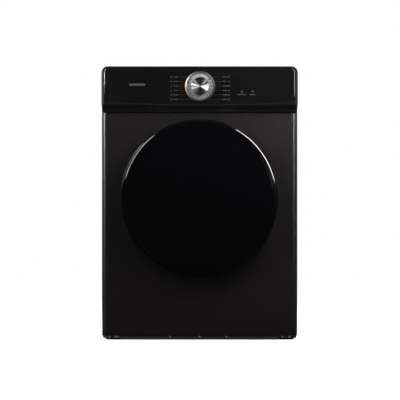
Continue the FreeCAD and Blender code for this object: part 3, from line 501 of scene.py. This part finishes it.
def loft(name, rings, mat, body="cabinet", cap0=True, cap1=True, closed=False, sharp=None):
    """Skin through closed rings of equal length."""
    n = len(rings[0])
    verts = [p for r in rings for p in r]
    faces = []
    m_ = len(rings)
    for i in range(m_ if closed else m_ - 1):
        j = (i + 1) % m_
        for q in range(n):
            w = (q + 1) % n
            faces.append((i * n + q, i * n + w, j * n + w, j * n + q))
    if not closed:
        if cap0:
            faces.append(tuple(range(n - 1, -1, -1)))
        if cap1:
            faces.append(tuple((m_ - 1) * n + q for q in range(n)))
    return mesh_object(name, verts, faces, mat, True, body, sharp)


def arc_pts(cx, cz, r, a0, a1, n):
    return [(cx + r * math.cos(math.radians(a0 + (a1 - a0) * i / n)), cz + r * math.sin(math.radians(a0 + (a1 - a0) * i / n))) for i in range(n + 1)]


def lathe(name, profile, cx, cz, mat, body, seg=192, sharp=None):
    """Closed profile of (radius, y) turned about the line along Y through (cx, cz); metres."""
    rings = []
    for i in range(seg):
        a = 2 * math.pi * i / seg
        rings.append([(cx + r * math.cos(a), y, cz + r * math.sin(a)) for r, y in profile])
    return loft(name, rings, mat, body, closed=True, sharp=sharp)


def round_profile(points, radii, n=5):
    """Closed profile with rounded corners, densely sampled."""
    out_ = []
    k_ = len(points)
    for i in range(k_):
        p = Vector(points[i])
        a_ = Vector(points[i - 1])
        b_ = Vector(points[(i + 1) % k_])
        r = radii[i]
        if r <= 0:
            out_.append(tuple(p))
            continue
        u = (a_ - p).normalized()
        v = (b_ - p).normalized()
        ang = u.angle(v)
        t_ = r / math.tan(ang / 2)
        c_ = p + (u + v).normalized() * (r / math.sin(ang / 2))
        s0 = p + u * t_ - c_
        s1 = p + v * t_ - c_
        tot = s0.angle(s1)
        for q in range(n + 1):
            f = q / n
            w = (s0 * math.sin((1 - f) * tot) + s1 * math.sin(f * tot)) / math.sin(tot)
            out_.append(tuple(c_ + w))
    return out_


mm = 0.001

# ------------------------------------------------------------------ control fascia with its polished bevel
f_lo, f_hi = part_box("console_fascia")
fx = f_hi[0]
fz1 = f_hi[2]
fzb = fz1 - 107.5 * mm                     # height of the bottom corners
fy0, fy1 = f_lo[1], f_hi[1]


def fascia_ring(o, y, n=10):
    x, zt, zb = fx + o, fz1 + o, fzb - o
    rt, rb = 17 * mm + o, 23 * mm + o
    pts = []
    pts += arc_pts(x - rt, zt - rt, rt, 90, 0, n)
    pts += arc_pts(x - rb, zb + rb, rb, 0, -90, n)
    xa = x - rb
    sag = 7.5 * mm
    R = (xa * xa + sag * sag) / (2 * sag)
    for i in range(1, 40):
        xx = xa - 2 * xa * i / 40
        zz = zb - (math.sqrt(R * R - xx * xx) - (R - sag))
        pts.append((xx, zz))
    pts += arc_pts(-x + rb, zb + rb, rb, -90, -180, n)
    pts += arc_pts(-x + rt, zt - rt, rt, 180, 90, n)
    return [(px, y, pz) for px, pz in pts]


bev = 2.8 * mm
rings = [fascia_ring(0, fy1), fascia_ring(0, fy0 + 1.2 * mm)]
for i in range(1, 7):
    a_ = math.radians(15 * i)
    rings.append(fascia_ring(-bev * (1 - math.cos(a_)), fy0 + 1.2 * mm * (1 - math.sin(a_))))
rings.append(fascia_ring(-bev - 0.4 * mm, fy0))
# the flat front and back run in to a round hole for the dial, behind the dial's own rings
dcx, _, dcz = centre("dial_light_ring")
hole_r = 46.3 * mm
hole, hole_back = [], []
for (px, py, pz) in rings[-1]:
    a_ = math.atan2(pz - dcz, px - dcx)
    hx, hz = dcx + hole_r * math.cos(a_), dcz + hole_r * math.sin(a_)
    hole.append((hx, fy0, hz))
    hole_back.append((hx, fy1, hz))
fascia = loft("fascia_panel", [hole_back] + rings + [hole], M["gloss"], "cabinet", closed=True, sharp=60)
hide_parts("console_fascia")

# ------------------------------------------------------------------ door ring, turned at fine resolution
r_lo, r_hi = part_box("door_outer_ring")
dz = (r_lo[2] + r_hi[2]) / 2
y_back, y_lip = -266.0 * mm, -286.2 * mm


def ring_profile(kind):
    """Profile points (radius, y) in mm, same count for each kind."""
    cr, r0_ = 12.5, 229.3
    front = [(226.3, -289.0), (226.8, -290.6), (227.5, -291.9)]
    for i in range(17):
        t_ = math.radians(-8 + (66 * i) / 16)
        front.append((r0_ + cr * math.sin(t_), -293.0 + cr * (1 - math.cos(t_))))
    front = [p for p in front if p[0] < 239.9] + [(240.0, -287.0)]
    if kind == "full":
        tail = [(240.0, -268.5), (239.4, -267.0), (238.0, -266.0), (228.0, -266.0), (227.0, -267.0), (227.0, -284.5), (221.0, -284.5), (221.0, -286.0), (226.3, -286.0)]
    elif kind == "hinge":
        tail = [(239.95, -286.8), (239.8, -286.5), (239.4, -286.3), (238.5, -286.2), (227.0, -286.2), (226.9, -286.2), (226.8, -286.2), (226.6, -286.2), (226.3, -286.2)]
    else:
        tail = [(240.0, -284.2), (239.4, -283.3), (238.4, -283.0), (230.5, -283.0), (229.5, -283.0), (229.4, -284.5), (221.0, -284.5), (221.0, -286.0), (226.3, -286.0)]
    return [(r * mm, y * mm) for r, y in front + tail]


angles = []
step = 1.5
hinge_a = math.degrees(math.asin(46 / 238.0))
grip_a = math.degrees(math.asin(58 / 236.0))
a_ = -hinge_a
stops = sorted([(-hinge_a, "hinge"), (hinge_a, "full"), (180 - grip_a, "grip"), (180 + grip_a, "full")])
spans = [(-hinge_a, hinge_a, "hinge"), (hinge_a, 180 - grip_a, "full"), (180 - grip_a, 180 + grip_a, "grip"), (180 + grip_a, 360 - hinge_a, "full")]
rings = []
for a0, a1, kind in spans:
    prof = ring_profile(kind)
    n_ = max(2, int(round((a1 - a0) / step)))
    for i in range(n_ + 1):
        a_ = math.radians(a0 + (a1 - a0) * i / n_)
        rings.append([(r * math.cos(a_), y, dz + r * math.sin(a_)) for r, y in prof])
door_ring = loft("door_ring", rings, M["ring"], "door", closed=True, sharp=50)
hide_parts("door_outer_ring")

# door glass: a turned dome with a ground edge
g_lo, g_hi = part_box("door_outer_glass")
gy_apex = g_lo[1]
GR = 225.9 * mm
gy_edge = -290.0 * mm
h_ = gy_edge - gy_apex
R_ = (GR * GR + h_ * h_) / (2 * h_)
prof = []
N = 40
for i in range(N + 1):
    r = GR * i / N
    if i == N:
        break
    prof.append((max(r, 0.00001), gy_apex + R_ - math.sqrt(R_ * R_ - r * r)))
prof += [(GR - 0.9 * mm, gy_edge + 0.02 * mm), (GR - 0.3 * mm, gy_edge + 0.3 * mm), (GR, gy_edge + 0.9 * mm), (GR, gy_edge + 3.2 * mm)]
Rb = R_ - 3.6 * mm
for i in range(N, -1, -1):
    r = (GR - 0.2 * mm) * i / N
    prof.append((max(r, 0.00001), gy_apex + R_ - math.sqrt(Rb * Rb - r * r)))
seen = []
for p in prof:
    if not seen or abs(p[0] - seen[-1][0]) + abs(p[1] - seen[-1][1]) > 1e-6:
        seen.append(p)
door_glass = lathe("door_glass", seen, 0.0, dz, M["glass"], "door", 160, sharp=40)
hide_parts("door_outer_glass")

# ------------------------------------------------------------------ printed legend on the fascia, as thin raised ink
ink = Mat("legend_ink", (0.20, 0.20, 0.205), 0.5)
ink.vary(0.12, 300.0)
ink.roughness(ink.noise(500.0), 0.42, 0.6)
ink_soft = Mat("legend_ink_soft", (0.085, 0.085, 0.09), 0.5)
ink_soft.vary(0.12, 300.0)
ink_soft.roughness(ink_soft.noise(500.0), 0.42, 0.6)

PX = 3.058 * mm


class Ink:
    def __init__(self):
        self.v, self.f = [], []

    def poly(self, pts, t=0.12 * mm):
        """Flat shape on the fascia front, pts are (x, z) in metres."""
        b_ = len(self.v)
        n = len(pts)
        self.v += [(x, fy0 - t, z) for x, z in pts] + [(x, fy0 + 0.05 * mm, z) for x, z in pts]
        self.f.append(tuple(b_ + i for i in range(n)))
        self.f.append(tuple(b_ + n + i for i in range(n - 1, -1, -1)))
        for i in range(n):
            j = (i + 1) % n
            self.f.append((b_ + i, b_ + n + i, b_ + n + j, b_ + j))

    def bar(self, x0, x1, z, h):
        self.poly([(x0, z - h / 2), (x1, z - h / 2), (x1, z + h / 2), (x0, z + h / 2)])

    def line(self, x0, z0, x1, z1, w):
        d = Vector((x1 - x0, z1 - z0)).normalized() * (w / 2)
        self.poly([(x0 - d.y, z0 + d.x), (x0 + d.y, z0 - d.x), (x1 + d.y, z1 - d.x), (x1 - d.y, z1 + d.x)])

    def dot(self, x, z, r, n=14):
        self.poly([(x + r * math.cos(2 * math.pi * i / n), z + r * math.sin(2 * math.pi * i / n)) for i in range(n)])

    def ring(self, x, z, r, w, a0=0, a1=360, n=18):
        for i in range(n):
            p = math.radians(a0 + (a1 - a0) * i / n)
            q = math.radians(a0 + (a1 - a0) * (i + 1) / n)
            self.poly([(x + (r - w) * math.cos(p), z + (r - w) * math.sin(p)), (x + r * math.cos(p), z + r * math.sin(p)),
                       (x + r * math.cos(q), z + r * math.sin(q)), (x + (r - w) * math.cos(q), z + (r - w) * math.sin(q))])

    def make(self, name, mat):
        me = bpy.data.meshes.new(name)
        me.from_pydata(self.v, [], self.f)
        me.materials.append(mat)
        ob = bpy.data.objects.new(name, me)
        bpy.context.scene.collection.objects.link(ob)
        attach(ob, "cabinet")
        return ob


def icon(I, kind, x, z, s, w):
    """Generic pictograms: circle, square, cross, waves, drop, star, shirt-like trapezoid."""
    k_ = kind % 6
    if k_ == 0:
        I.ring(x, z, s, w)
        I.dot(x, z, s * 0.3)
    elif k_ == 1:
        for a0_ in range(0, 180, 45):
            c_, q_ = math.cos(math.radians(a0_)), math.sin(math.radians(a0_))
            I.line(x - s * c_, z - s * q_, x + s * c_, z + s * q_, w)
    elif k_ == 2:
        I.line(x - s, z - s * .8, x + s, z - s * .8, w)
        I.line(x + s, z - s * .8, x + s * .6, z + s, w)
        I.line(x + s * .6, z + s, x - s * .6, z + s, w)
        I.line(x - s * .6, z + s, x - s, z - s * .8, w)
    elif k_ == 3:
        for q_ in (-1, 0, 1):
            I.line(x - s, z + q_ * s * .7, x + s, z + q_ * s * .7, w)
    elif k_ == 4:
        I.ring(x, z - s * .2, s * .8, w, 150, 390)
        I.line(x - s * .65, z + s * .25, x, z + s * 1.1, w)
        I.line(x + s * .65, z + s * .25, x, z + s * 1.1, w)
    else:
        I.line(x - s, z - s, x + s, z - s, w)
        I.line(x - s, z - s, x - s, z + s, w)
        I.line(x + s, z - s, x + s, z + s, w)
        I.line(x - s, z + s, x + s, z + s, w)
        I.dot(x, z, s * .3)


I_ = Ink()
L_ = Ink()
rows = [28.4, 14.8, 0.8, -12.9, -26.4, -40.2]           # heights of the six rows from the dial's centre, mm
seed = [(5.2, 7.4), (6.0, 5.2), (9.0, 3.8), (4.0, 5.0), (7.0, 6.2), (10.0, 2.4)]
for i, dzr in enumerate(rows):
    z = dcz + dzr * mm
    rr = 47.5 * mm
    dx = math.sqrt(max(rr * rr - (dzr * mm) ** 2, 0))
    for s_ in (-1, 1):
        # leader line from the dial out to the words
        L_.line(dcx + s_ * (dx + 1.5 * mm), z, dcx + s_ * (65.0 + (5 if (i == 3 and s_ < 0) else 0)) * mm, z, 0.55 * mm)
        # words stood in for by short bars
        a0_ = 68.0 + (0 if s_ < 0 else 1.5)
        x = a0_
        for q_, ln in enumerate(seed[(i + (2 if s_ > 0 else 0)) % 6]):
            I_.bar(dcx + s_ * x * mm, dcx + s_ * (x + ln) * mm, z, 1.5 * mm) if s_ > 0 else I_.bar(dcx - (x + ln) * mm, dcx - x * mm, z, 1.5 * mm)
            x += ln + 1.1
        icon(I_, i + (3 if s_ > 0 else 0), dcx + s_ * 88.5 * mm, z, 2.4 * mm, 0.55 * mm)
# two touch keys
kz = dcz - 16.0 * mm
icon(I_, 4, dcx + 127.5 * mm, kz, 3.0 * mm, 0.7 * mm)
I_.line(dcx + 124.0 * mm, kz - 3.6 * mm, dcx + 131.0 * mm, kz - 3.6 * mm, 0.6 * mm)
I_.bar(dcx + 114.5 * mm, dcx + 126.0 * mm, kz - 9.6 * mm, 1.7 * mm)
I_.bar(dcx + 127.5 * mm, dcx + 140.5 * mm, kz - 9.6 * mm, 1.7 * mm)
icon(I_, 0, dcx + 160.5 * mm, kz, 3.2 * mm, 0.7 * mm)
I_.bar(dcx + 151.5 * mm, dcx + 168.0 * mm, kz - 9.6 * mm, 1.7 * mm)
I_.make("legend_symbols", ink.m)
L_.make("legend_leaders", ink_soft.m)
# plain blank badge on the left, rounded, no lettering
badge = Mat("blank_badge", (0.16, 0.16, 0.165), 0.38, 0.7)
badge.vary(0.1, 80.0)
badge.roughness(badge.noise(300.0), 0.3, 0.5)
bx, bz = dcx - 192.0 * mm, dcz + 5.0 * mm
hw, hh = 25.0 * mm, 3.2 * mm
B_ = Ink()
pts = arc_pts(bx + hw - hh, bz, hh, -90, 90, 10) + arc_pts(bx - hw + hh, bz, hh, 90, 270, 10)
B_.poly(pts, 0.35 * mm)
B_.make("blank_badge", badge.m)

# dark round marks on the programme ring, over its engraved ticks
tick = Mat("tick_ink", (0.008, 0.008, 0.009), 0.75)
tick.vary(0.2, 300.0)
p_lo, p_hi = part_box("programme_ring")
tv, tf = [], []
for a0_ in (36, 18, 0, -18, -36, -54, 144, 162, 180, 198, 216, 234):
    a_ = math.radians(a0_)
    rx, rz = math.cos(a_), math.sin(a_)
    tx, tz = -rz, rx
    b_ = len(tv)
    yt = p_lo[1] + 0.20 * mm
    nd = 14
    for yy in (yt, yt + 1.4 * mm):
        for q in range(nd):
            u, w = 2.15 * math.cos(2 * math.pi * q / nd), 2.15 * math.sin(2 * math.pi * q / nd)
            tv.append((dcx + (34.9 + u) * mm * rx + w * mm * tx, yy, dcz + (34.9 + u) * mm * rz + w * mm * tz))
    tf += [tuple(range(b_, b_ + nd)), tuple(range(b_ + 2 * nd - 1, b_ + nd - 1, -1))]
    tf += [(b_ + q, b_ + nd + q, b_ + nd + (q + 1) % nd, b_ + (q + 1) % nd) for q in range(nd)]
mesh_object("programme_ticks", tv, tf, tick.m, False, "cabinet")

# ------------------------------------------------------------------ stage
scene = bpy.context.scene
scene.view_settings.view_transform = "Standard"
scene.view_settings.look = "None"


def area(name, loc, target, sx, sy, power, color=(1, 1, 1), shape="RECTANGLE"):
    d = bpy.data.lights.new(name, "AREA")
    d.shape = shape
    d.size = sx
    d.size_y = sy
    d.energy = power
    d.color = color
    o = bpy.data.objects.new(name, d)
    scene.collection.objects.link(o)
    o.location = loc
    dirv = Vector(target) - Vector(loc)
    o.rotation_euler = dirv.to_track_quat("-Z", "Y").to_euler()
    o.visible_camera = False
    return o


def strip(name, x, y, z0, z1, w, power, target=(0, -0.28, 0.6)):
    o_ = area(name, (x, y, (z0 + z1) / 2), (target[0], target[1], (z0 + z1) / 2 - 0.25), w, z1 - z0, power)
    return o_


def gloss_only(o_):
    o_.visible_diffuse = False
    return o_


only_ring = bpy.data.collections.new("lit_door_ring")
only_ring.objects.link(door_ring)
not_ring = bpy.data.collections.new("lit_all_but_ring")
not_ring.objects.link(door_ring)
not_ring.collection_objects[0].light_linking.link_state = "EXCLUDE"


no_door = bpy.data.collections.new("lit_all_but_door_face")
for _i, _o in enumerate((door_ring, door_glass)):
    no_door.objects.link(_o)
for _c in no_door.collection_objects:
    _c.light_linking.link_state = "EXCLUDE"
housing = [_o for _o in bpy.data.objects if _o.name.split(".")[0] == "console_housing"]
panel = [_o for _o in bpy.data.objects if _o.name.split(".")[0] == "front_panel"]
only_console = bpy.data.collections.new("lit_console")
no_console = bpy.data.collections.new("lit_all_but_console")
for _o in housing:
    only_console.objects.link(_o)
for _o in housing + [door_ring]:
    no_console.objects.link(_o)
for _c in no_console.collection_objects:
    _c.light_linking.link_state = "EXCLUDE"
only_panel = bpy.data.collections.new("lit_front_panel")
for _o in panel:
    only_panel.objects.link(_o)
only_fascia = bpy.data.collections.new("lit_fascia")
only_fascia.objects.link(fascia)
only_back = bpy.data.collections.new("lit_back")
for _o in bpy.data.objects:
    if _o.name.split(".")[0] in ("back_panel", "vent_spigot", "cable_gland", "air_inlet_grille"):
        only_back.objects.link(_o)


def linked(o_, coll):
    o_.light_linking.receiver_collection = coll
    return o_


linked(gloss_only(area("edge_left", (-2.04, -1.28, 1.58), (-0.29, -0.28, 1.58), 0.50, 1.54, 240)), no_console)
linked(gloss_only(area("edge_left_console", (-2.04, -1.28, 1.58), (-0.29, -0.28, 1.58), 0.50, 1.54, 60)), only_console)
linked(gloss_only(area("edge_right", (1.47, -1.90, 1.72), (0.29, -0.28, 1.72), 0.46, 2.16, 62)), no_console)
linked(gloss_only(area("edge_right_console", (1.47, -1.90, 1.72), (0.29, -0.28, 1.72), 0.46, 2.16, 22)), only_console)
wash = linked(area("wash_right", (0.45, -0.50, 0.95), (0.2, -0.26, 0.62), 0.25, 0.15, 6.0), only_panel)
wash.visible_glossy = False
wash = linked(area("wash_left", (-0.45, -0.50, 0.95), (-0.2, -0.26, 0.62), 0.25, 0.15, 1.6), only_panel)
wash.visible_glossy = False
linked(gloss_only(area("fascia_under", (0.0, -0.78, 0.12), (0.0, -0.29, 0.72), 1.3, 0.2, 1.6)), only_fascia)
# the softboxes as the polished door ring sees them
linked(gloss_only(area("ring_left", (-1.47, -1.90, 1.62), (-0.1, -0.28, 1.62), 0.13, 1.60, 24)), only_ring)
linked(gloss_only(area("ring_right", (1.40, -1.90, 1.92), (0.1, -0.28, 1.92), 0.20, 2.30, 95)), only_ring)
soft = area("soft_top", (0.62, -0.64, 1.17), (0.15, -0.25, 0.65), 0.5, 0.3, 5.6)
soft_l = area("soft_top_left", (-0.55, -0.66, 1.17), (-0.15, -0.25, 0.65), 0.5, 0.3, 2.4)
soft_l.visible_glossy = False
soft.visible_glossy = False
front_fill = area("front_fill", (0.0, -3.4, 1.2), (0.0, -0.25, 0.4), 1.6, 1.2, 0.9)
front_fill.visible_glossy = False
bounce = linked(area("floor_bounce", (0.0, -0.85, 0.03), (0.0, -0.5, 0.35), 1.4, 0.5, 0.10, (1.0, 0.80, 0.72)), no_door)
area("back_soft", (1.2, 2.8, 0.75), (0, 0.25, 0.4), 1.6, 1.1, 26).visible_glossy = False
area("back_soft_left", (-1.6, 2.5, 0.7), (0, 0.25, 0.4), 1.0, 1.1, 16).visible_glossy = False
linked(area("side_right", (2.6, 1.0, 1.2), (0.3, 0.1, 0.45), 1.2, 1.5, 120), not_ring).visible_glossy = False
linked(area("side_left", (-2.6, 1.0, 1.2), (-0.3, 0.1, 0.45), 1.2, 1.5, 120), not_ring).visible_glossy = False
linked(gloss_only(area("sheen_right", (4.0, 0.3, 1.3), (0.3, 0.3, 0.9), 3.0, 2.0, 5)), not_ring)
linked(gloss_only(area("sheen_left", (-4.0, 0.3, 1.3), (-0.3, 0.3, 0.9), 3.0, 2.0, 5)), not_ring)
linked(gloss_only(area("sheen_back", (0.0, 4.0, 1.0), (0.0, 0.3, 0.7), 3.0, 1.6, 14)), only_back)
over = area("overhead", (0.0, 0.3, 3.0), (0.0, 0.1, 0.8), 1.6, 1.2, 90)
over.visible_glossy = False

world = bpy.data.worlds.new("studio")
scene.world = world
world.use_nodes = True
wt = world.node_tree
wt.nodes.clear()
out = wt.nodes.new("ShaderNodeOutputWorld")
mixs = wt.nodes.new("ShaderNodeMixShader")
lp = wt.nodes.new("ShaderNodeLightPath")
bg_cam = wt.nodes.new("ShaderNodeBackground")
bg_cam.inputs["Color"].default_value = (1, 1, 1, 1)
bg_cam.inputs["Strength"].default_value = 1.0
bg_env = wt.nodes.new("ShaderNodeBackground")
bg_env.inputs["Color"].default_value = (0.85, 0.88, 0.95, 1)
bg_env.inputs["Strength"].default_value = 0.022
wt.links.new(lp.outputs["Is Camera Ray"], mixs.inputs["Fac"])
wt.links.new(bg_env.outputs[0], mixs.inputs[1])
wt.links.new(bg_cam.outputs[0], mixs.inputs[2])
wt.links.new(mixs.outputs[0], out.inputs["Surface"])

fm = bpy.data.meshes.new("studio_floor")
bm = bmesh.new()
bmesh.ops.create_circle(bm, cap_ends=True, radius=9.0, segments=96)
bm.to_mesh(fm)
bm.free()
floor = bpy.data.objects.new("studio_floor", fm)
scene.collection.objects.link(floor)
floor.location = (0, 0, -0.0005)
m = bpy.data.materials.new("studio_floor")
m.use_nodes = True
t = m.node_tree
t.nodes.clear()
o = t.nodes.new("ShaderNodeOutputMaterial")
mx = t.nodes.new("ShaderNodeMixShader")
l2 = t.nodes.new("ShaderNodeLightPath")
em = t.nodes.new("ShaderNodeEmission")
em.inputs["Color"].default_value = (1, 1, 1, 1)
tc = t.nodes.new("ShaderNodeTexCoord")
ln = t.nodes.new("ShaderNodeVectorMath")
ln.operation = "LENGTH"
t.links.new(tc.outputs["Object"], ln.inputs[0])
mr = t.nodes.new("ShaderNodeMapRange")
mr.inputs["From Min"].default_value = 0.5
mr.inputs["From Max"].default_value = 2.2
mr.inputs["To Min"].default_value = 0.86
mr.inputs["To Max"].default_value = 1.0
t.links.new(ln.outputs["Value"], mr.inputs["Value"])
sp2 = t.nodes.new("ShaderNodeSeparateXYZ")
t.links.new(tc.outputs["Object"], sp2.inputs[0])


def tmath(op, a_, b__):
    q_ = t.nodes.new("ShaderNodeMath")
    q_.operation = op
    for i_, v_ in enumerate((a_, b__)):
        if v_ is None:
            continue
        if isinstance(v_, (int, float)):
            q_.inputs[i_].default_value = v_
        else:
            t.links.new(v_, q_.inputs[i_])
    return q_.outputs[0]


# Painted shadow: for camera rays the floor's glow falls to 0.02 inside the machine's footprint, standing in for the
# shadow beneath it.
inside = tmath("MAXIMUM", tmath("DIVIDE", tmath("ABSOLUTE", sp2.outputs[0], None), 0.292),
               tmath("DIVIDE", tmath("ABSOLUTE", sp2.outputs[1], None), 0.262))
under = t.nodes.new("ShaderNodeMapRange")
under.inputs["From Min"].default_value = 0.97
under.inputs["From Max"].default_value = 1.03
under.inputs["To Min"].default_value = 0.02
under.inputs["To Max"].default_value = 1.0
t.links.new(inside, under.inputs["Value"])
t.links.new(tmath("MULTIPLY", mr.outputs["Result"], under.outputs["Result"]), em.inputs["Strength"])
d1 = t.nodes.new("ShaderNodeBsdfDiffuse")
d1.inputs["Color"].default_value = (0.8, 0.8, 0.8, 1)
ad = t.nodes.new("ShaderNodeAddShader")
t.links.new(em.outputs[0], ad.inputs[0])
t.links.new(d1.outputs[0], ad.inputs[1])
d2 = t.nodes.new("ShaderNodeEmission")
d2.inputs["Color"].default_value = (0.85, 0.88, 0.95, 1)
d2.inputs["Strength"].default_value = 0.020
t.links.new(l2.outputs["Is Camera Ray"], mx.inputs["Fac"])
t.links.new(d2.outputs[0], mx.inputs[1])
t.links.new(ad.outputs[0], mx.inputs[2])
t.links.new(mx.outputs[0], o.inputs["Surface"])
fm.materials.append(m)
